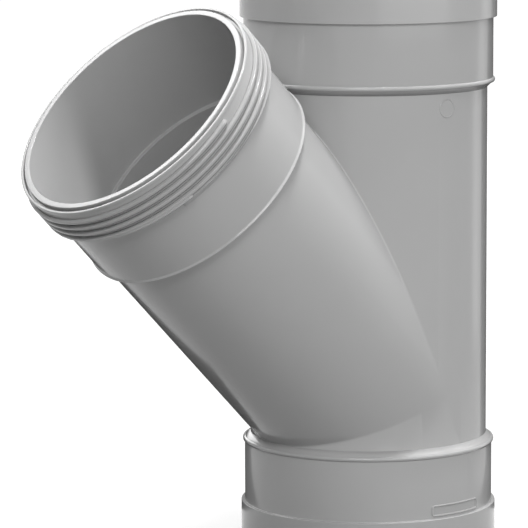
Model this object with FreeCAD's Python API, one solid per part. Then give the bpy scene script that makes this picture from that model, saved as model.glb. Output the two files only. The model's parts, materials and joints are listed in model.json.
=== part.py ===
import FreeCAD, Part
import math
import os

# Lateral wye fitting for soil and waste pipe: a straight run with a plain pipe socket at each end,
# and a branch of the same bore at an angle, whose wide mouth is threaded outside for a screw cap.
# Lengths are millimetres. The run stands along Z with its lower rim on Z = 0, and the branch rises
# towards -X.

# Pipe that the two sockets take
PIPE_DIAMETER = 110.0
PIPE_CLEARANCE = 0.2        # gap all round the pipe in its socket
SOCKET_DEPTH = 48.0
SOCKET_WALL = 3.5
SOCKET_LEAD_IN = 0.6        # chamfer inside the socket's rim

# Body of the run, between the two sockets
STOP_SHOULDER = 3.0         # step that the pipe's end meets at the bottom of the socket
BODY_WALL = 3.8

# Band round each socket's mouth
BAND_HEIGHT = 1.7
BAND_LENGTH = 17.3

# Bead and neck where each socket meets the body
BEAD_HEIGHT = 0.9
BEAD_LENGTH = 2.3
BEAD_CREST = 0.8
BEAD_OVERRUN = 0.2          # how far the bead runs past the pipe stop
NECK_LENGTH = 2.3
NECK_STEP = 0.4             # how far the neck's wide end lies inside the socket's wall

# Branch
BRANCH_ANGLE = 45.0         # between the branch and the upper half of the run
BRANCH_INSET = 0.3          # how much less the branch's radius is than the body's
LOWER_STOP_MARGIN = 2.0     # from the foot of the branch's root down to the lower pipe stop
UPPER_STOP_MARGIN = 8.4     # from the crotch up to the upper pipe stop
COLLAR_MARGIN = 11.2        # from the crotch out along the branch to the collar's step

# Collar and mouth of the branch
MOUTH_LENGTH = 51.2         # from the collar's step to the inner lip
CHAMBER_STEP = 2.7          # from the branch's bore out to the wide mouth chamber, at its ledge
CHAMBER_TAPER = 1.3         # how much the chamber's radius grows from the ledge to the mouth
LEDGE_SETBACK = 1.1         # how far the ledge lies below the collar's step
INNER_LIP_WALL = 2.7
GROOVE_WIDTH = 1.3
GROOVE_DEPTH = 2.6
OUTER_LIP_WALL = 1.3
OUTER_LIP_SETBACK = 0.75    # how far the outer lip stands back from the inner one
OUTER_LIP_HEIGHT = 1.25

# Thread on the collar
THREAD_ROOT_STEP = 0.3      # from the outer lip's side in to the thread's root
THREAD_SHOULDER = 2.1       # from the thread's root in to the plain collar
THREAD_ZONE = 18.55         # from the inner lip back to where the shoulder cuts the ridges' crests
SHOULDER_SLOPE = 33.2       # angle of the shoulder's cone, from the branch's cross plane
THREAD_STARTS = 2
THREAD_PITCH = 3.9          # from one ridge to the next
THREAD_TURNS = 2.1          # the ridges run out in the shoulder
THREAD_HEIGHT = 1.65
THREAD_CREST = 1.2
THREAD_LOWER_FLANK = 1.9
THREAD_UPPER_FLANK = 0.6
THREAD_SETBACK = 4.3        # from the inner lip down to the ridge's middle at its upper end
THREAD_END_AZIMUTH = 2.0    # of the first ridge's upper end, round the branch from -Y
THREAD_SINK = 0.4           # how deep a ridge's foot is sunk in the collar
FILL_TURNS = 1.585          # from a ridge's upper end to where the groove under it is filled
FILL_SPAN = 58.0            # how far round the branch the filled stretch reaches
FILL_TOP = 1.25             # from the shoulder's edge up to the top of the filling
FILL_STEP = 0.04            # how much lower than the crests the filling is

# Raised rectangular frame on the lower socket, round a blank label field
LABEL_WIDTH = 30.0
LABEL_HEIGHT = 5.4
LABEL_LINE = 0.8
LABEL_RELIEF = 0.35
LABEL_GAP = 1.0             # between the frame and the mouth band
LABEL_AZIMUTH = -86.0       # of the frame's middle, round the run from +X

CUT_OVERRUN = 1.0           # how far a cutting solid runs past the face that it opens

# Radii of the run
socket_bore = PIPE_DIAMETER / 2 + PIPE_CLEARANCE
socket_outside = socket_bore + SOCKET_WALL
band_outside = socket_outside + BAND_HEIGHT
body_bore = socket_bore - STOP_SHOULDER
body_outside = body_bore + BODY_WALL

# Places along the run and the branch, from where their axes cross
crotch = body_outside / math.tan(math.radians(BRANCH_ANGLE / 2))
branch_foot = body_outside * math.tan(math.radians(BRANCH_ANGLE / 2))
crossing = SOCKET_DEPTH + LOWER_STOP_MARGIN + branch_foot
upper_stop = crossing + crotch + UPPER_STOP_MARGIN
run_length = upper_stop + SOCKET_DEPTH
collar_start = crotch + COLLAR_MARGIN
branch_length = collar_start + MOUTH_LENGTH
ledge = collar_start - LEDGE_SETBACK

# Radii of the branch
branch_outside = body_outside - BRANCH_INSET
branch_bore = body_bore - BRANCH_INSET
chamber_at_ledge = branch_bore + CHAMBER_STEP
chamber_at_mouth = chamber_at_ledge + CHAMBER_TAPER
inner_lip_outside = chamber_at_mouth + INNER_LIP_WALL
outer_lip_inside = inner_lip_outside + GROOVE_WIDTH
outer_lip_outside = outer_lip_inside + OUTER_LIP_WALL
thread_root = outer_lip_outside - THREAD_ROOT_STEP
collar_outside = thread_root - THREAD_SHOULDER
thread_crest = thread_root + THREAD_HEIGHT

# Shoulder under the thread
shoulder_edge = branch_length - THREAD_ZONE
shoulder_rate = math.tan(math.radians(SHOULDER_SLOPE))
shoulder_foot = shoulder_edge - (thread_crest - collar_outside) * shoulder_rate
root_foot = shoulder_edge - THREAD_HEIGHT * shoulder_rate


def revolved_part(points, angle):
    """Solid turned this far round Z from a closed outline of (radius, height) pairs."""
    corners = [FreeCAD.Vector(radius, 0, height) for radius, height in points]
    face = Part.Face(Part.makePolygon(corners + corners[:1]))
    return face.revolve(FreeCAD.Vector(0, 0, 0), FreeCAD.Vector(0, 0, 1), angle)


def revolved(points):
    """Solid turned all the way round Z."""
    return revolved_part(points, 360)


def on_branch(solid):
    """Moves a solid built round Z to the branch's axis."""
    tilt = FreeCAD.Rotation(FreeCAD.Vector(0, 1, 0), -BRANCH_ANGLE)
    place = FreeCAD.Placement(FreeCAD.Vector(0, 0, crossing), tilt)
    moved = solid.copy()
    moved.Placement = place.multiply(moved.Placement)
    return moved


def socket_outline():
    """Outside of one socket, from the axis at its rim in to the body, as (radius, depth) pairs."""
    bead_end = SOCKET_DEPTH + BEAD_OVERRUN
    bead_start = bead_end - BEAD_LENGTH
    bead_slope = (BEAD_LENGTH - BEAD_CREST) / 2
    bead_outside = socket_outside + BEAD_HEIGHT
    return [
        (0, 0),
        (band_outside, 0),
        (band_outside, BAND_LENGTH),
        (socket_outside, BAND_LENGTH),
        (socket_outside, bead_start),
        (bead_outside, bead_start + bead_slope),
        (bead_outside, bead_end - bead_slope),
        (socket_outside, bead_end),
        (socket_outside - NECK_STEP, bead_end),
        (body_outside, bead_end + NECK_LENGTH),
    ]


def run_outside():
    """The run's outer form, as if it were solid."""
    lower = socket_outline()
    upper = [(radius, run_length - depth) for radius, depth in socket_outline()]
    return revolved(lower + upper[::-1])


def branch_outside_form():
    """The branch's outer form, as if it were solid, with the groove between its two lips."""
    outer_lip_top = branch_length - OUTER_LIP_SETBACK
    groove_floor = branch_length - GROOVE_DEPTH
    outer_lip_foot = outer_lip_top - OUTER_LIP_HEIGHT
    return revolved([
        (0, 0),
        (branch_outside, 0),
        (branch_outside, collar_start),
        (collar_outside, collar_start),
        (collar_outside, shoulder_foot),
        (thread_root, root_foot),
        (thread_root, outer_lip_foot),
        (outer_lip_outside, outer_lip_foot),
        (outer_lip_outside, outer_lip_top),
        (outer_lip_inside, outer_lip_top),
        (outer_lip_inside, groove_floor),
        (inner_lip_outside, groove_floor),
        (inner_lip_outside, branch_length),
        (0, branch_length),
    ])


def thread_ridge():
    """One right-hand ridge round Z, with its upper end on +X at the height of its setback."""
    lead = THREAD_PITCH * THREAD_STARTS
    rise = lead * THREAD_TURNS
    foot = thread_root - THREAD_SINK
    helix = Part.makeHelix(lead, rise, foot)
    half_crest = THREAD_CREST / 2
    section = Part.makePolygon([
        FreeCAD.Vector(foot, 0, -half_crest - THREAD_LOWER_FLANK),
        FreeCAD.Vector(thread_crest, 0, -half_crest),
        FreeCAD.Vector(thread_crest, 0, half_crest),
        FreeCAD.Vector(foot, 0, half_crest + THREAD_UPPER_FLANK),
        FreeCAD.Vector(foot, 0, -half_crest - THREAD_LOWER_FLANK),
    ])
    sweep = Part.BRepOffsetAPI.MakePipeShell(Part.Wire(helix.Edges))
    sweep.setFrenetMode(True)
    sweep.add(section, False, False)
    sweep.build()
    sweep.makeSolid()
    ridge = sweep.shape()
    ridge.rotate(FreeCAD.Vector(0, 0, 0), FreeCAD.Vector(0, 0, 1), -360 * THREAD_TURNS)
    ridge.translate(FreeCAD.Vector(0, 0, branch_length - THREAD_SETBACK - rise))
    return ridge


def groove_filling():
    """Short flat-topped stretch that ends the groove under the ridge of thread_ridge."""
    filling = revolved_part([
        (thread_root - THREAD_SINK, root_foot),
        (thread_crest - FILL_STEP, root_foot),
        (thread_crest - FILL_STEP, shoulder_edge + FILL_TOP),
        (thread_root - THREAD_SINK, shoulder_edge + FILL_TOP),
    ], FILL_SPAN)
    filling.rotate(FreeCAD.Vector(0, 0, 0), FreeCAD.Vector(0, 0, 1), -360 * FILL_TURNS - FILL_SPAN)
    return filling


def threaded(branch):
    """The branch with the ridges of every start, spaced evenly round Z and cut by the shoulder's cone."""
    above_shoulder = revolved([
        (0, shoulder_foot),
        (collar_outside, shoulder_foot),
        (thread_crest + CUT_OVERRUN, shoulder_edge + CUT_OVERRUN * shoulder_rate),
        (thread_crest + CUT_OVERRUN, branch_length),
        (0, branch_length),
    ])
    for start in range(THREAD_STARTS):
        azimuth = THREAD_END_AZIMUTH - 90 + 360 * start / THREAD_STARTS
        for form in (thread_ridge(), groove_filling()):
            form.rotate(FreeCAD.Vector(0, 0, 0), FreeCAD.Vector(0, 0, 1), azimuth)
            branch = branch.fuse(form.common(above_shoulder))
    return branch


def run_hollow():
    """Everything open inside the run: two sockets with their lead-ins, and the bore between the stops."""
    lead_in_end = SOCKET_LEAD_IN + CUT_OVERRUN
    return revolved([
        (0, -CUT_OVERRUN),
        (socket_bore + lead_in_end, -CUT_OVERRUN),
        (socket_bore, SOCKET_LEAD_IN),
        (socket_bore, SOCKET_DEPTH),
        (body_bore, SOCKET_DEPTH),
        (body_bore, upper_stop),
        (socket_bore, upper_stop),
        (socket_bore, run_length - SOCKET_LEAD_IN),
        (socket_bore + lead_in_end, run_length + CUT_OVERRUN),
        (0, run_length + CUT_OVERRUN),
    ])


def branch_hollow():
    """Everything open inside the branch: its bore, the ledge and the tapered chamber in the mouth."""
    return revolved([
        (0, 0),
        (branch_bore, 0),
        (branch_bore, ledge),
        (chamber_at_ledge, ledge),
        (chamber_at_mouth, branch_length),
        (chamber_at_mouth, branch_length + CUT_OVERRUN),
        (0, branch_length + CUT_OVERRUN),
    ])


def label_block(inset, depth):
    """Block this far into and out of the lower socket's surface, inset from the label's outer edge."""
    half_angle = math.degrees((LABEL_WIDTH / 2 - inset) / socket_outside)
    low = BAND_LENGTH + LABEL_GAP + inset
    high = BAND_LENGTH + LABEL_GAP + LABEL_HEIGHT - inset
    block = revolved_part([
        (socket_outside - depth, low),
        (socket_outside + depth, low),
        (socket_outside + depth, high),
        (socket_outside - depth, high),
    ], 2 * half_angle)
    block.rotate(FreeCAD.Vector(0, 0, 0), FreeCAD.Vector(0, 0, 1), LABEL_AZIMUTH - half_angle)
    return block


def label_frame():
    """Raised line round the blank label field."""
    return label_block(0, LABEL_RELIEF).cut(label_block(LABEL_LINE, 2 * LABEL_RELIEF))


def wye_body():
    """The whole fitting as one solid."""
    branch = on_branch(threaded(branch_outside_form()))
    outside = run_outside().fuse([branch, label_frame()])
    hollow = [run_hollow(), on_branch(branch_hollow())]
    return outside.cut(hollow).removeSplitter()


os.makedirs("parts", exist_ok=True)
body = wye_body()
body.exportStep("parts/wye_body.step")
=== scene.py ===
import json
import math

import bmesh
import bpy
from bpy.props import FloatProperty, FloatVectorProperty, IntProperty, PointerProperty
from mathutils import Matrix, Vector


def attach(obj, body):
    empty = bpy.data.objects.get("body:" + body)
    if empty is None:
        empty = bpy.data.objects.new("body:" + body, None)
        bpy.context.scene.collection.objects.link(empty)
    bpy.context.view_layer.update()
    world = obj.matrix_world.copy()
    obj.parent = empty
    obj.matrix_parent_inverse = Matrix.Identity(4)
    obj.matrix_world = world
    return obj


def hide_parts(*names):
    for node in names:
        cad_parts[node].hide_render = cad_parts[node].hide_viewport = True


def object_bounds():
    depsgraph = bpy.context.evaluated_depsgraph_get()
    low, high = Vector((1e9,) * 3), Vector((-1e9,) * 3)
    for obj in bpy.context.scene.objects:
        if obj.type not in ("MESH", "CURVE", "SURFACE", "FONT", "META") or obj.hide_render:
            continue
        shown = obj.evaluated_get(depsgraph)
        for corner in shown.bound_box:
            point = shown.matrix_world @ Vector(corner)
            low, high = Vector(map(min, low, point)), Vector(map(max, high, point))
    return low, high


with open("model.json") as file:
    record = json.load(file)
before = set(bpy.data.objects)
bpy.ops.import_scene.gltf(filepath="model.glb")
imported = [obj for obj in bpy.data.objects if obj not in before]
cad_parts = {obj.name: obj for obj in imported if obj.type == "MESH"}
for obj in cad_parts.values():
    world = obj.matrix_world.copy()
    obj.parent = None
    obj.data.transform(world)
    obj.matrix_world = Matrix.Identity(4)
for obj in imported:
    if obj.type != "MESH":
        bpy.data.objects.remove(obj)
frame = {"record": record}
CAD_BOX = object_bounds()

bl_info = {
    "name": "Lateral wye fitting",
    "version": (1, 0, 0),
    "blender": (4, 5, 0),
    "location": "3D View > Sidebar > Wye",
    "description": "Grey PVC-U lateral wye with plain sockets and a threaded branch mouth, in a studio",
    "category": "Add Mesh",
}

MM = 0.001
MOUNTS = {mount["name"]: mount for mount in frame["record"]["mounts"]}
SOCKET = MOUNTS["lower_socket"]
THREAD = MOUNTS["branch_thread"]
RUN_LENGTH = CAD_BOX[1][2]
SOCKET_BORE = SOCKET["dims"]["r_mm"] * MM
LEAD_IN = SOCKET["pos_m"][2]
STOP_DEPTH = LEAD_IN + SOCKET["dims"]["length_mm"] * MM
CREST_RADIUS = THREAD["dims"]["r_mm"] * MM
MOUTH = Vector(THREAD["pos_m"])
BRANCH_AXIS = Vector(THREAD["axis"]).normalized()
BRANCH_LENGTH = MOUTH.x / BRANCH_AXIS.x
CROSSING = MOUTH - BRANCH_AXIS * BRANCH_LENGTH


def length(name, description, millimetres):
    """A size that shows in the panel in the scene's units."""
    return FloatProperty(
        name=name, description=description, default=millimetres * MM, unit="LENGTH", precision=5
    )


def angle(name, description, degrees):
    """An angle that shows in the panel in degrees."""
    return FloatProperty(
        name=name, description=description, default=math.radians(degrees), subtype="ANGLE"
    )


def factor(name, description, value):
    """A number without a unit."""
    return FloatProperty(name=name, description=description, default=value, subtype="FACTOR")


def linear(hex_colour):
    """Turns an sRGB hex colour to the linear values that the shaders use."""
    channels = [int(hex_colour[i:i + 2], 16) / 255 for i in (1, 3, 5)]
    return [c / 12.92 if c <= 0.04045 else ((c + 0.055) / 1.055) ** 2.4 for c in channels]


def colour(name, description, hex_colour):
    """A colour that shows in the panel."""
    return FloatVectorProperty(
        name=name, description=description, default=linear(hex_colour), subtype="COLOR"
    )


class WyeSizes(bpy.types.PropertyGroup):
    """Sizes of the moulded fitting that the mounts don't give."""

    body_radius: length("Body radius", "Outside of the run and of the branch", 56.0)
    body_bore: length("Body bore", "Inside of the run and of the branch", 52.2)
    socket_wall: length("Socket wall", "From the socket's bore out to its side", 3.5)
    band_height: length("Band height", "How far the mouth band stands out of the socket", 1.7)
    band_length: length("Band length", "From the rim to the end of the mouth band", 17.3)
    bead_height: length("Bead height", "How far the bead stands out of the socket", 0.9)
    bead_length: length("Bead length", "Width of the bead along the run", 2.3)
    neck_step: length("Neck step", "From the bead in to the neck's wide end", 0.4)
    neck_length: length("Neck length", "From the bead to the body", 2.3)
    crease_rounding: length("Crease rounding", "How far the root's crease is rounded to each side", 0.7)
    inner_rounding: length("Inner rounding", "The same, inside where the bores meet", 0.8)
    edge_rounding: length("Edge rounding", "Of most edges; others get a share or a multiple of it", 0.3)
    collar_start: length("Collar start", "From the axes' crossing out to the collar's step", 146.4)
    collar_radius: length("Collar radius", "Outside of the plain collar", 58.8)
    collar_rim_height: length("Collar rim height", "How far the collar's fine rim stands out", 0.7)
    collar_rim_length: length("Collar rim length", "From the collar's step to the foot of its rim", 1.2)
    ledge_depth: length("Ledge depth", "From the inner lip in to the ledge", 52.3)
    chamber_bottom: length("Chamber bottom", "Radius of the mouth chamber at the ledge", 54.6)
    chamber_top: length("Chamber top", "Radius of the mouth chamber at the lip", 55.9)
    lip_wall: length("Inner lip wall", "Thickness of the inner lip", 2.7)
    groove_width: length("Groove width", "Gap between the two lips", 1.3)
    groove_depth: length("Groove depth", "From the inner lip down to the groove's floor", 2.6)
    outer_lip_wall: length("Outer lip wall", "Thickness of the outer lip", 1.3)
    outer_lip_setback: length("Outer lip setback", "How far the outer lip stands back", 0.75)
    outer_lip_height: length("Outer lip height", "Height of the outer lip's side", 1.25)
    thread_root: length("Thread root", "Radius at the foot of the ridges", 60.9)
    thread_zone: length("Thread zone", "From the inner lip back to the shoulder, at the crests", 18.55)
    shoulder_slope: angle("Shoulder slope", "Of the shoulder's cone, from the branch's cross plane", 33.2)


class WyeThread(bpy.types.PropertyGroup):
    """Ridges of the screw thread."""

    starts: IntProperty(name="Starts", description="How many ridges wind side by side", default=2)
    pitch: length("Pitch", "From one ridge to the next", 3.9)
    turns: factor("Turns", "Turns of each ridge, until it has run out", 2.1)
    crest: length("Crest", "Flat width of a ridge's top", 1.2)
    lower_flank: length("Lower flank", "Axial length of the long flank", 1.9)
    upper_flank: length("Upper flank", "Axial length of the short flank", 0.6)
    setback: length("Setback", "From the inner lip down to a ridge's upper end", 4.3)
    sink: length("Sink", "How deep a ridge's foot is sunk in the collar", 0.4)
    end_azimuth: angle("End azimuth", "Azimuth of the first ridge's upper end, from -Y", 2.0)
    fill_turns: factor("Fill turns", "Turns from a ridge's upper end to where its groove ends", 1.585)
    fill_span: angle("Fill span", "How far round the branch a groove's end is filled", 58.0)
    fill_top: length("Fill top", "From the shoulder's edge up to the top of the filling", 1.25)
    fill_step: length("Fill step", "How much lower than the crests the filling is", 0.04)


class WyeLabel(bpy.types.PropertyGroup):
    """Blank frame raised on the lower socket, and plain ring on the body."""

    width: length("Width", "Width of the frame round the socket", 30.0)
    height: length("Height", "Height of the frame", 5.4)
    line: length("Line", "Width of the raised line", 0.8)
    relief: length("Relief", "How far the line stands out", 0.35)
    gap: length("Gap", "From the mouth band to the frame", 1.0)
    corner: length("Corner", "Corner radius of the frame", 1.5)
    azimuth: angle("Azimuth", "Azimuth of the frame's middle, from +X", -86.0)
    ring_diameter: length("Ring diameter", "Outside of the ring", 9.0)
    ring_line: length("Ring line", "Width of the ring's line", 0.7)
    ring_relief: length("Ring relief", "How far the ring stands out", 0.12)
    ring_height: length("Ring height", "From the axes' crossing up to the ring's middle", 134.6)
    ring_azimuth: angle("Ring azimuth", "Azimuth of the ring's middle, from +X", -90.6)


class WyeFinish(bpy.types.PropertyGroup):
    """Colours and gloss of the moulded plastic and the studio."""

    plastic: colour("Plastic", "Grey of the moulded PVC-U", "#a3a3a3")
    plastic_pale: colour("Plastic, pale", "Grey where the melt flowed last", "#a9a9a9")
    roughness: factor("Roughness", "Satin gloss of the plastic", 0.17)
    floor: colour("Floor", "Studio paper, whose glow makes it look white", "#7c7c7c")
    card: colour("Dark card", "Felt that the fitting's edges mirror", "#2c2c2c")


class WyeView(bpy.types.PropertyGroup):
    """Camera that looks at the fitting as the photograph does."""

    azimuth: angle("Azimuth", "Camera's azimuth, 0 looks along +Y", -39.22)
    elevation: angle("Elevation", "Height of the camera above the level", 7.942)
    roll: angle("Roll", "Turn of the camera about its own axis", -0.205)
    distance: length("Distance", "From the camera to the point that it looks at", 1698.9)
    aim_right: length("Aim right", "Aim point, to the camera's right of the run's axis", -49.283)
    aim_above: length("Aim above", "Aim point, above the crossing of the axes", 56.766)
    lens: FloatProperty(name="Lens", description="Focal length", default=244.59, unit="CAMERA")


# Mesh tools

# Steps of a full turn, and of a rounded edge or corner
SEGMENTS = 192
ROUNDING_SEGMENTS = 4

# How near to a cut a vertex counts as on it, in metres, and how near two vertices are merged
CUT_TOLERANCE = 1e-7
MERGE_DISTANCE = 0.02 * MM


def round_off(mesh, geometry, rounding, affect):
    """Rounds vertices of a section or edges of a skin."""
    bmesh.ops.bevel(
        mesh, geom=geometry, offset=rounding, offset_type="OFFSET", segments=ROUNDING_SEGMENTS,
        profile=0.5, affect=affect, material=-1, clamp_overlap=True,
    )


def wire(mesh, corners, closed):
    """Draws an outline through (x, z, rounding) corners in the XZ plane."""
    verts = [mesh.verts.new((x, 0, z)) for x, z, _ in corners]
    loop = verts + verts[:1] if closed else verts
    for pair in zip(loop, loop[1:]):
        mesh.edges.new(pair)
    for vert, (_, _, rounding) in zip(verts, corners):
        if rounding:
            round_off(mesh, [vert], rounding, "VERTICES")


def extruded_verts(result):
    """The vertices among what an extrusion made."""
    return [item for item in result["geom"] if isinstance(item, bmesh.types.BMVert)]


def turned(corners, closed):
    """Turns a section round Z into a skin."""
    mesh = bmesh.new()
    wire(mesh, corners, closed)
    bmesh.ops.spin(
        mesh, geom=mesh.verts[:] + mesh.edges[:], cent=(0, 0, 0), axis=(0, 0, 1), dvec=(0, 0, 0),
        angle=math.tau, steps=SEGMENTS, use_merge=True, use_duplicate=False,
    )
    return mesh


def pour(part, whole):
    """Moves everything in one mesh into another."""
    carrier = bpy.data.meshes.new("carrier")
    part.to_mesh(carrier)
    part.free()
    whole.from_mesh(carrier)
    bpy.data.meshes.remove(carrier)


def branch_place():
    """Turns +Z to the branch's axis and moves the origin to the crossing of the axes."""
    tilt = Vector((0, 0, 1)).rotation_difference(BRANCH_AXIS).to_matrix().to_4x4()
    return Matrix.Translation(CROSSING) @ tilt


# The moulded body

# Share of the bead's width by which each of its two corners is rounded
BEAD_ROUNDING = 0.48

# How near an edge lies to the crease it is part of, and the bend below which a crease stays unrounded
CREASE_TOLERANCE = 0.05 * MM
SHALLOW_CREASE = math.radians(12)

# How far a ridge that has run out stays below the shoulder
UNDER_SHOULDER = 0.02 * MM

# Raised lines: steps of the ring, and how edges too long to bend round the wall are divided
RING_SEGMENTS = 48
LONGEST_STRAIGHT = 3 * MM
BEND_CUTS = 24


def run_section(sizes):
    """Closed section of the run's wall: outside up, inside down."""
    side = SOCKET_BORE + sizes.socket_wall
    band = side + sizes.band_height
    edge = sizes.edge_rounding
    outside = [
        (SOCKET_BORE + LEAD_IN, 0, 0),
        (band, 0, 2 * edge),
        (band, sizes.band_length, edge),
        (side, sizes.band_length, edge),
        (side, STOP_DEPTH - sizes.bead_length / 2, 0),
        (sizes.body_radius, STOP_DEPTH, 0),
    ]
    inside = [
        (sizes.body_bore, STOP_DEPTH, edge),
        (SOCKET_BORE, STOP_DEPTH, edge),
        (SOCKET_BORE, LEAD_IN, edge),
    ]
    above = [(radius, RUN_LENGTH - depth, rounding) for radius, depth, rounding in outside + inside]
    above_outside, above_inside = above[:len(outside)], above[len(outside):]
    return outside + above_outside[::-1] + above_inside[::-1] + inside


def shoulder_height(sizes, radius):
    """How far out along the branch the shoulder's cone lies at this radius."""
    return BRANCH_LENGTH - sizes.thread_zone - (CREST_RADIUS - radius) * math.tan(sizes.shoulder_slope)


def branch_section(sizes):
    """Open section of the branch's wall: outside up to the mouth, over both lips, back down inside."""
    edge = sizes.edge_rounding
    lip = sizes.chamber_top + sizes.lip_wall
    outer_lip_inside = lip + sizes.groove_width
    outer_lip = outer_lip_inside + sizes.outer_lip_wall
    outer_lip_top = BRANCH_LENGTH - sizes.outer_lip_setback
    outer_lip_foot = outer_lip_top - sizes.outer_lip_height
    groove_floor = BRANCH_LENGTH - sizes.groove_depth
    ledge = BRANCH_LENGTH - sizes.ledge_depth
    rim = sizes.collar_radius + sizes.collar_rim_height
    rim_foot = sizes.collar_start + sizes.collar_rim_length
    root = -sizes.socket_wall
    return [
        (sizes.body_radius, root, 0),
        (sizes.body_radius, sizes.collar_start, 0.5 * edge),
        (rim, sizes.collar_start, edge),
        (rim, rim_foot - sizes.collar_rim_height, edge),
        (sizes.collar_radius, rim_foot, edge),
        (sizes.collar_radius, shoulder_height(sizes, sizes.collar_radius), 2 * edge),
        (sizes.thread_root, shoulder_height(sizes, sizes.thread_root), edge),
        (sizes.thread_root, outer_lip_foot, 0.5 * edge),
        (outer_lip, outer_lip_foot, 0.5 * edge),
        (outer_lip, outer_lip_top, 1.5 * edge),
        (outer_lip_inside, outer_lip_top, edge),
        (outer_lip_inside, groove_floor, edge),
        (lip, groove_floor, edge),
        (lip, BRANCH_LENGTH, edge),
        (sizes.chamber_top, BRANCH_LENGTH, edge),
        (sizes.chamber_bottom, ledge, edge),
        (sizes.body_bore, ledge, edge),
        (sizes.body_bore, root, 0),
    ]


def crease_planes():
    """Normals, away from the branch, of the two planes in which its root meets the run."""
    half = BRANCH_AXIS.angle(Vector((0, 0, 1))) / 2
    upper = Vector((math.cos(half), 0, math.sin(half)))
    lower = Vector((math.sin(half), 0, -math.cos(half)))
    return upper, lower


def trim(mesh, keep_branch_side):
    """Cuts a skin along both crease planes and takes away what the other tube replaces."""
    normals = crease_planes()
    for normal in normals:
        # The strip of the run's wall that faces away from the branch stays whole
        near = [face for face in mesh.faces if face.calc_center_median().x < SOCKET_BORE]
        geometry = set(near)
        for face in near:
            geometry.update(face.edges)
            geometry.update(face.verts)
        bmesh.ops.bisect_plane(
            mesh, geom=list(geometry), dist=CUT_TOLERANCE, plane_co=CROSSING, plane_no=normal,
            clear_inner=False, clear_outer=False,
        )
    unwanted = []
    for face in mesh.faces:
        offset = face.calc_center_median() - CROSSING
        on_branch_side = all(offset.dot(normal) < 0 for normal in normals)
        if on_branch_side != keep_branch_side:
            unwanted.append(face)
    bmesh.ops.delete(mesh, geom=unwanted, context="FACES")


def crease_edges(mesh, radius):
    """Edges of the root's crease on the tube of this radius, but for the shallow stretch at its sides."""
    normals = crease_planes()
    found = []
    for edge in mesh.edges:
        ends = [vert.co - CROSSING for vert in edge.verts]
        on_plane = any(
            all(abs(end.dot(normal)) < CREASE_TOLERANCE for end in ends) for normal in normals
        )
        on_tube = all(abs(end.to_2d().length - radius) < CREASE_TOLERANCE for end in ends)
        if on_plane and on_tube and edge.is_manifold:
            if abs(edge.calc_face_angle_signed()) > SHALLOW_CREASE:
                found.append(edge)
    return found


def tube_walls(sizes):
    """Run and branch as one closed skin, with their creases rounded."""
    run = turned(run_section(sizes), True)
    trim(run, False)
    branch = turned(branch_section(sizes), False)
    bmesh.ops.transform(branch, matrix=branch_place(), verts=branch.verts)
    trim(branch, True)
    pour(branch, run)
    bmesh.ops.remove_doubles(run, verts=run.verts, dist=MERGE_DISTANCE)
    bmesh.ops.recalc_face_normals(run, faces=run.faces)
    round_off(run, crease_edges(run, sizes.body_radius), sizes.crease_rounding, "EDGES")
    round_off(run, crease_edges(run, sizes.body_bore), sizes.inner_rounding, "EDGES")
    return run


def bead_ring(sizes, height_of):
    """Bead and neck of one socket as a ring sunk in the wall; height_of turns a depth to a height."""
    side = SOCKET_BORE + sizes.socket_wall
    bead = side + sizes.bead_height
    bead_start = STOP_DEPTH - sizes.bead_length
    rounding = BEAD_ROUNDING * sizes.bead_length
    # The neck's slope runs on into the body's wall, by as much as the neck steps in at the bead
    neck_foot = STOP_DEPTH + sizes.neck_length + sizes.neck_step
    sunk = sizes.body_radius - sizes.neck_step
    ring = turned([
        (side - sizes.socket_wall / 2, height_of(bead_start), 0),
        (bead, height_of(bead_start), rounding),
        (bead, height_of(STOP_DEPTH), rounding),
        (side - sizes.neck_step, height_of(STOP_DEPTH), 0),
        (sunk, height_of(neck_foot), 0),
        (sunk, height_of(STOP_DEPTH), 0),
    ], True)
    bmesh.ops.recalc_face_normals(ring, faces=ring.faces)
    return ring


def wound(corners, turns, rise):
    """Winds a section down round Z, closed at both ends."""
    steps = round(SEGMENTS * turns)
    form = bmesh.new()
    wire(form, corners, True)
    bmesh.ops.contextual_create(form, geom=form.edges[:])
    bmesh.ops.spin(
        form, geom=form.verts[:] + form.edges[:] + form.faces[:], cent=(0, 0, 0), axis=(0, 0, -1),
        dvec=(0, 0, -rise / steps), angle=math.tau * turns, steps=steps,
        use_merge=False, use_duplicate=False,
    )
    return form


def thread_ridge(sizes, thread):
    """One right-hand ridge, wound down from its blunt upper end on +X until it is in the shoulder."""
    foot = sizes.thread_root - thread.sink
    flank_middle = (foot + CREST_RADIUS) / 2
    middle = BRANCH_LENGTH - thread.setback
    half_crest = thread.crest / 2
    ridge = wound([
        (foot, middle - half_crest - thread.lower_flank, 0),
        (flank_middle, middle - half_crest - thread.lower_flank / 2, 0),
        (CREST_RADIUS, middle - half_crest, sizes.edge_rounding),
        (CREST_RADIUS, middle, 0),
        (CREST_RADIUS, middle + half_crest, sizes.edge_rounding),
        (flank_middle, middle + half_crest + thread.upper_flank / 2, 0),
        (foot, middle + half_crest + thread.upper_flank, 0),
    ], thread.turns, thread.pitch * thread.starts * thread.turns)
    floor = sizes.collar_radius - thread.sink
    slope = math.tan(sizes.shoulder_slope)
    for vert in ridge.verts:
        radius = vert.co.to_2d().length
        under = shoulder_height(sizes, radius) - vert.co.z
        if under > 0:
            limit = min(radius, max(floor, radius - under / slope - UNDER_SHOULDER))
            vert.co.xy *= limit / radius
    return ridge


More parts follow.
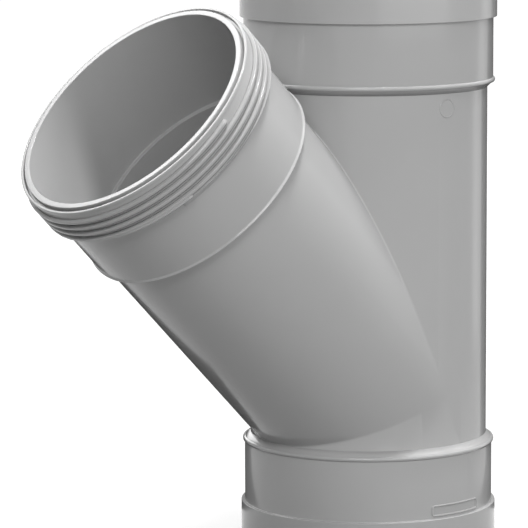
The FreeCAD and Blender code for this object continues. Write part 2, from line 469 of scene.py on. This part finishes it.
def groove_filling(sizes, thread):
    """Short flat-topped stretch that ends the groove under the ridge of thread_ridge."""
    foot = sizes.thread_root - thread.sink
    outside = CREST_RADIUS - thread.fill_step
    edge = shoulder_height(sizes, outside)
    filling = wound([
        (foot, shoulder_height(sizes, foot), 0),
        (outside, edge, sizes.edge_rounding / 2),
        (outside, edge + thread.fill_top, 0),
        (foot, edge + thread.fill_top, 0),
    ], thread.fill_span / math.tau, 0)
    bmesh.ops.rotate(
        filling, cent=(0, 0, 0), verts=filling.verts,
        matrix=Matrix.Rotation(-math.tau * thread.fill_turns, 3, "Z"),
    )
    return filling


def thread_start(sizes, thread, start):
    """Ridge and groove end of one start, in place on the collar."""
    form = thread_ridge(sizes, thread)
    pour(groove_filling(sizes, thread), form)
    turn = thread.end_azimuth - math.pi / 2 + math.tau * start / thread.starts
    place = branch_place() @ Matrix.Rotation(turn, 4, "Z")
    bmesh.ops.transform(form, matrix=place, verts=form.verts)
    bmesh.ops.recalc_face_normals(form, faces=form.faces)
    return form


def raised_outline(plate, line, relief, side, azimuth):
    """Turns a flat face in the XZ plane into a line along its rim, bent round the run and half sunk."""
    bmesh.ops.inset_region(
        plate, faces=plate.faces[:], thickness=line, use_even_offset=True, use_boundary=True,
    )
    field = max(plate.faces, key=lambda face: face.calc_area())
    bmesh.ops.delete(plate, geom=[field], context="FACES_ONLY")
    long_edges = [edge for edge in plate.edges if edge.calc_length() > LONGEST_STRAIGHT]
    bmesh.ops.subdivide_edges(plate, edges=long_edges, cuts=BEND_CUTS, use_grid_fill=True)
    raised = bmesh.ops.extrude_face_region(plate, geom=plate.faces[:], use_keep_orig=True)
    for vert in extruded_verts(raised):
        vert.co.y = 2 * relief
    for vert in plate.verts:
        turn = azimuth + vert.co.x / side
        radius = side - relief + vert.co.y
        vert.co = (radius * math.cos(turn), radius * math.sin(turn), vert.co.z)
    bmesh.ops.recalc_face_normals(plate, faces=plate.faces)


def label_frame(sizes, label):
    """Rounded rectangular frame, raised on the lower socket above its mouth band."""
    side = SOCKET_BORE + sizes.socket_wall
    low = sizes.band_length + label.gap
    half = label.width / 2
    plate = bmesh.new()
    wire(plate, [
        (-half, low, label.corner),
        (half, low, label.corner),
        (half, low + label.height, label.corner),
        (-half, low + label.height, label.corner),
    ], True)
    bmesh.ops.contextual_create(plate, geom=plate.edges[:])
    raised_outline(plate, label.line, label.relief, side, label.azimuth)
    return plate


def mould_ring(sizes, label):
    """Plain faint ring on the body, just below the upper socket."""
    upright = Matrix.Rotation(math.pi / 2, 4, "X")
    place = Matrix.Translation((0, 0, CROSSING.z + label.ring_height)) @ upright
    plate = bmesh.new()
    bmesh.ops.create_circle(
        plate, cap_ends=True, segments=RING_SEGMENTS, radius=label.ring_diameter / 2, matrix=place,
    )
    raised_outline(plate, label.ring_line, label.ring_relief, sizes.body_radius, label.ring_azimuth)
    return plate


def moulding_mesh(scene):
    """The whole fitting as one mesh."""
    sizes = scene.wye_sizes
    body = tube_walls(sizes)
    pour(bead_ring(sizes, lambda depth: depth), body)
    pour(bead_ring(sizes, lambda depth: RUN_LENGTH - depth), body)
    for start in range(scene.wye_thread.starts):
        pour(thread_start(sizes, scene.wye_thread, start), body)
    pour(label_frame(sizes, scene.wye_label), body)
    pour(mould_ring(sizes, scene.wye_label), body)
    for face in body.faces:
        face.smooth = True
    data = bpy.data.meshes.new("moulded_body")
    body.to_mesh(data)
    body.free()
    return data


# Materials

WHITE = (1, 1, 1, 1)

# Clouds in the grey, where the melt flowed and cooled at different speeds
CLOUD_SIZE = 60 * MM

# Gloss that varies by a little from place to place, as handling leaves it
WEAR_SIZE = 14 * MM
GLOSS_SPREAD = 0.02

# Orange peel, drawn a little coarser than the mould leaves it
PEEL_SIZE = 1.2 * MM
PEEL_DEPTH = 0.02 * MM
PEEL_STRENGTH = 0.04

# Rigid PVC has about 1.53. It is lower here, to match the fitting's soft gloss
PLASTIC_IOR = 1.38

# Most of a noise texture's values lie between these
NOISE_LOW = 0.3
NOISE_HIGH = 0.7


def add_node(tree, kind, settings=None, inputs=None):
    """Adds a node, sets its settings, and gives each named input a value or a link."""
    node = tree.nodes.new(kind)
    for name, value in (settings or {}).items():
        setattr(node, name, value)
    for name, value in (inputs or {}).items():
        if isinstance(value, bpy.types.NodeSocket):
            tree.links.new(value, node.inputs[name])
        else:
            node.inputs[name].default_value = value
    return node


def new_material(name):
    """An empty node material and its tree."""
    material = bpy.data.materials.new(name)
    material.use_nodes = True
    material.node_tree.nodes.clear()
    return material, material.node_tree


def grey_pvc_u_injection_moulded(finish):
    """Grey PVC-U from a polished mould: satin gloss, a trace of orange peel, slow clouds in the grey."""
    material, tree = new_material("grey_pvc_u_injection_moulded")
    place = add_node(tree, "ShaderNodeTexCoord").outputs["Object"]
    clouds = add_node(tree, "ShaderNodeTexNoise", inputs={
        "Vector": place, "Scale": 1 / CLOUD_SIZE, "Detail": 3.0, "Roughness": 0.5,
    })
    tint = add_node(tree, "ShaderNodeMix", {"data_type": "RGBA"}, {
        "Factor": clouds.outputs["Fac"],
        "A": (*finish.plastic, 1),
        "B": (*finish.plastic_pale, 1),
    })
    wear = add_node(tree, "ShaderNodeTexNoise", inputs={
        "Vector": place, "Scale": 1 / WEAR_SIZE, "Detail": 4.0, "Roughness": 0.6,
    })
    gloss = add_node(tree, "ShaderNodeMapRange", inputs={
        "Value": wear.outputs["Fac"], "From Min": NOISE_LOW, "From Max": NOISE_HIGH,
        "To Min": finish.roughness - GLOSS_SPREAD, "To Max": finish.roughness + GLOSS_SPREAD,
    })
    peel = add_node(tree, "ShaderNodeTexNoise", inputs={
        "Vector": place, "Scale": 1 / PEEL_SIZE, "Detail": 2.0, "Roughness": 0.5,
    })
    relief = add_node(tree, "ShaderNodeBump", inputs={
        "Height": peel.outputs["Fac"], "Strength": PEEL_STRENGTH, "Distance": PEEL_DEPTH,
    })
    plastic = add_node(tree, "ShaderNodeBsdfPrincipled", inputs={
        "Base Color": tint.outputs["Result"], "Roughness": gloss.outputs["Result"],
        "IOR": PLASTIC_IOR, "Normal": relief.outputs["Normal"],
    })
    add_node(tree, "ShaderNodeOutputMaterial", inputs={"Surface": plastic.outputs["BSDF"]})
    return material


def seen_directly(tree):
    """1 for camera, glossy and transmission rays, 0 for the rays that light the object."""
    path = add_node(tree, "ShaderNodeLightPath")
    glossy = add_node(tree, "ShaderNodeMath", {"operation": "MAXIMUM"}, {
        0: path.outputs["Is Camera Ray"], 1: path.outputs["Is Glossy Ray"],
    })
    return add_node(tree, "ShaderNodeMath", {"operation": "MAXIMUM"}, {
        0: glossy.outputs["Value"], 1: path.outputs["Is Transmission Ray"],
    }).outputs["Value"]


def pale_floor(finish):
    """Matt studio floor that looks white where it is seen and still takes the shadow."""
    material, tree = new_material("matt_paper_backdrop")
    matt = add_node(tree, "ShaderNodeBsdfDiffuse", inputs={"Color": (*finish.floor, 1)})
    # The lamps' light falls off away from the fitting, and the glow grows to make up for it
    place = add_node(tree, "ShaderNodeTexCoord").outputs["Object"]
    away = add_node(tree, "ShaderNodeVectorMath", {"operation": "LENGTH"}, {0: place}).outputs["Value"]
    strength = add_node(tree, "ShaderNodeMapRange", {"interpolation_type": "SMOOTHSTEP"}, {
        "Value": away, "From Min": GLOW_NEAR, "From Max": GLOW_FAR, "To Min": FLOOR_GLOW, "To Max": 1.0,
    })
    glow = add_node(tree, "ShaderNodeEmission", inputs={
        "Color": WHITE, "Strength": strength.outputs["Result"],
    })
    lit = add_node(tree, "ShaderNodeAddShader", inputs={
        0: matt.outputs["BSDF"], 1: glow.outputs["Emission"],
    })
    shown = add_node(tree, "ShaderNodeMixShader", inputs={
        0: seen_directly(tree), 1: matt.outputs["BSDF"], 2: lit.outputs["Shader"],
    })
    add_node(tree, "ShaderNodeOutputMaterial", inputs={"Surface": shown.outputs["Shader"]})
    return material


def black_felt(finish):
    """Black felt, which takes in nearly all light."""
    material, tree = new_material("black_felt")
    felt = add_node(tree, "ShaderNodeBsdfDiffuse", inputs={"Color": (*finish.card, 1)})
    add_node(tree, "ShaderNodeOutputMaterial", inputs={"Surface": felt.outputs["BSDF"]})
    return material


# Studio

# Camera: the sensor's width in millimetres, and how many metres deep it sees
SENSOR_WIDTH = 36
VIEW_DEPTH = 100

# Floor: side in metres, and its own glow, which rises to 1 between two distances from the fitting
FLOOR_SIZE = 30.0
FLOOR_GLOW = 0.80
GLOW_NEAR = 0.3
GLOW_FAR = 2.0

# Light that the surroundings give the object, where 1 is the white that the camera sees
WORLD_FILL = 0.17

# Dark cards: degrees to the camera's right, then distance, width and height in metres
DARK_CARDS = {
    "right": (155, 0.25, 0.235, 0.28),
    "left": (-152, 0.25, 0.2, 0.09),
}

# Depth of a card's foot, and how far it clears the floor, in metres
CARD_FOOT = 0.17
CARD_LIFT = 0.0005

# Softboxes: degrees to the camera's right and up, then distance, width and height in metres, and watts
SOFTBOXES = {
    "top": (80, 83, 1.8, 0.3, 0.3, 30),
    "upper_right": (112, 60, 1.8, 0.8, 0.6, 6),
    "camera_side": (-8, 34, 1.8, 0.7, 0.7, 12),
    "front_right": (42, 20, 1.1, 1.5, 0.8, 7),
    "strip": (122, 1, 0.7, 0.13, 0.3, 0.09),
    "back": (-122, 46, 1.8, 0.8, 0.6, 10),
    "rear_right": (152, 38, 1.8, 0.9, 0.5, 6),
    "rear": (-174, 14, 1.8, 1.2, 0.8, 7),
}


def towards(azimuth, elevation):
    """Direction away from the fitting, -Y at azimuth 0 and +X at a quarter turn."""
    level = math.cos(elevation)
    return Vector((math.sin(azimuth) * level, -math.cos(azimuth) * level, math.sin(elevation)))


def rightwards(azimuth):
    """Level direction to the right, as seen from that azimuth."""
    return Vector((math.cos(azimuth), math.sin(azimuth), 0))


def add_camera(view):
    """Places the camera as the photograph's outlines give it."""
    back = towards(view.azimuth, view.elevation)
    right = rightwards(view.azimuth)
    up = back.cross(right)
    aim = CROSSING + right * view.aim_right + Vector((0, 0, view.aim_above))
    turn = Matrix((right, up, back)).transposed() @ Matrix.Rotation(view.roll, 3, "Z")
    data = bpy.data.cameras.new("photo_camera")
    data.lens = view.lens
    data.sensor_width = SENSOR_WIDTH
    data.clip_end = VIEW_DEPTH
    camera = bpy.data.objects.new("photo_camera", data)
    camera.matrix_world = Matrix.Translation(aim + back * view.distance) @ turn.to_4x4()
    bpy.context.scene.collection.objects.link(camera)
    bpy.context.scene.camera = camera


def add_softbox(name, azimuth, elevation, distance, width, height, power):
    """Rectangular light that faces the fitting's middle."""
    turn = bpy.context.scene.wye_view.azimuth + math.radians(azimuth)
    outward = towards(turn, math.radians(elevation))
    middle = (Vector(CAD_BOX[0]) + Vector(CAD_BOX[1])) / 2
    data = bpy.data.lights.new("softbox_" + name, "AREA")
    data.shape = "RECTANGLE"
    data.size = width
    data.size_y = height
    data.energy = power
    lamp = bpy.data.objects.new("softbox_" + name, data)
    lamp.location = middle + outward * distance
    lamp.rotation_euler = outward.to_track_quat("Z", "Y").to_euler()
    bpy.context.scene.collection.objects.link(lamp)


def add_world():
    """White studio surroundings, dimmer for the rays that light the object."""
    world = bpy.data.worlds.new("studio_surroundings")
    world.use_nodes = True
    tree = world.node_tree
    tree.nodes.clear()
    strength = add_node(tree, "ShaderNodeMapRange", inputs={
        "Value": seen_directly(tree), "To Min": WORLD_FILL, "To Max": 1.0,
    })
    sky = add_node(tree, "ShaderNodeBackground", inputs={
        "Color": WHITE, "Strength": strength.outputs["Result"],
    })
    add_node(tree, "ShaderNodeOutputWorld", inputs={"Surface": sky.outputs["Background"]})
    bpy.context.scene.world = world


def studio_piece(name, mesh, material):
    """Makes a mesh an object of the studio and links it to the scene."""
    data = bpy.data.meshes.new(name)
    mesh.to_mesh(data)
    mesh.free()
    data.materials.append(material)
    piece = bpy.data.objects.new(name, data)
    bpy.context.scene.collection.objects.link(piece)
    return piece


def add_floor(finish):
    """Level floor under the lower rim."""
    mesh = bmesh.new()
    bmesh.ops.create_grid(mesh, x_segments=1, y_segments=1, size=FLOOR_SIZE / 2)
    floor = studio_piece("studio_floor", mesh, pale_floor(finish))


def add_dark_card(name, azimuth, distance, width, height, felt):
    """Upright card with a foot towards the fitting, seen only as a dark edge in the plastic's gloss."""
    turn = bpy.context.scene.wye_view.azimuth + math.radians(azimuth)
    outward = towards(turn, 0)
    across = rightwards(turn) * width
    mesh = bmesh.new()
    profile = ((distance - CARD_FOOT, CARD_LIFT), (distance, CARD_LIFT), (distance, height))
    verts = [
        mesh.verts.new(outward * reach + Vector((0, 0, level)) - across / 2) for reach, level in profile
    ]
    edges = [mesh.edges.new(pair) for pair in zip(verts, verts[1:])]
    swept = bmesh.ops.extrude_edge_only(mesh, edges=edges)
    bmesh.ops.translate(mesh, vec=across, verts=extruded_verts(swept))
    card = studio_piece("dark_card_" + name, mesh, felt)
    card.visible_camera = False
    card.visible_diffuse = False
    card.visible_shadow = False


# Operators

class WYE_OT_moulded_body(bpy.types.Operator):
    """Models the fitting in grey PVC-U, in place of the plain solid"""

    bl_idname = "wye.moulded_body"
    bl_label = "Moulded body"

    def execute(self, context):
        piece = bpy.data.objects.new("moulded_body", moulding_mesh(context.scene))
        context.scene.collection.objects.link(piece)
        piece.data.materials.append(grey_pvc_u_injection_moulded(context.scene.wye_finish))
        shading = piece.modifiers.new("even_shading", "WEIGHTED_NORMAL")
        shading.mode = "FACE_AREA"
        shading.keep_sharp = True
        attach(piece, "root")
        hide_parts("wye_body")
        return {"FINISHED"}


class WYE_OT_stage(bpy.types.Operator):
    """Sets up the floor, the dark cards, the surroundings, the softboxes and the camera"""

    bl_idname = "wye.stage"
    bl_label = "Studio stage"

    def execute(self, context):
        context.scene.view_settings.view_transform = "Standard"
        add_floor(context.scene.wye_finish)
        felt = black_felt(context.scene.wye_finish)
        for name, values in DARK_CARDS.items():
            add_dark_card(name, *values, felt)
        add_world()
        for name, values in SOFTBOXES.items():
            add_softbox(name, *values)
        add_camera(context.scene.wye_view)
        return {"FINISHED"}


class WYE_PT_panel(bpy.types.Panel):
    """Sizes, finish and view of the wye fitting"""

    bl_idname = "WYE_PT_panel"
    bl_label = "Lateral wye fitting"
    bl_space_type = "VIEW_3D"
    bl_region_type = "UI"
    bl_category = "Wye"

    def draw(self, context):
        for kind in OPERATORS:
            self.layout.operator(kind.bl_idname)
        for name in GROUPS:
            box = self.layout.box()
            group = getattr(context.scene, name)
            for key in group.bl_rna.properties.keys():
                if key not in ("rna_type", "name"):
                    box.prop(group, key)


GROUPS = {
    "wye_sizes": WyeSizes,
    "wye_thread": WyeThread,
    "wye_label": WyeLabel,
    "wye_finish": WyeFinish,
    "wye_view": WyeView,
}
OPERATORS = (WYE_OT_moulded_body, WYE_OT_stage)


def register():
    for name, group in GROUPS.items():
        bpy.utils.register_class(group)
        setattr(bpy.types.Scene, name, PointerProperty(type=group))
    for kind in OPERATORS:
        bpy.utils.register_class(kind)
    bpy.utils.register_class(WYE_PT_panel)


def unregister():
    bpy.utils.unregister_class(WYE_PT_panel)
    for kind in reversed(OPERATORS):
        bpy.utils.unregister_class(kind)
    for name, group in GROUPS.items():
        delattr(bpy.types.Scene, name)
        bpy.utils.unregister_class(group)


def main():
    register()
    bpy.ops.wye.moulded_body()
    bpy.ops.wye.stage()


if __name__ == "__main__":
    main()
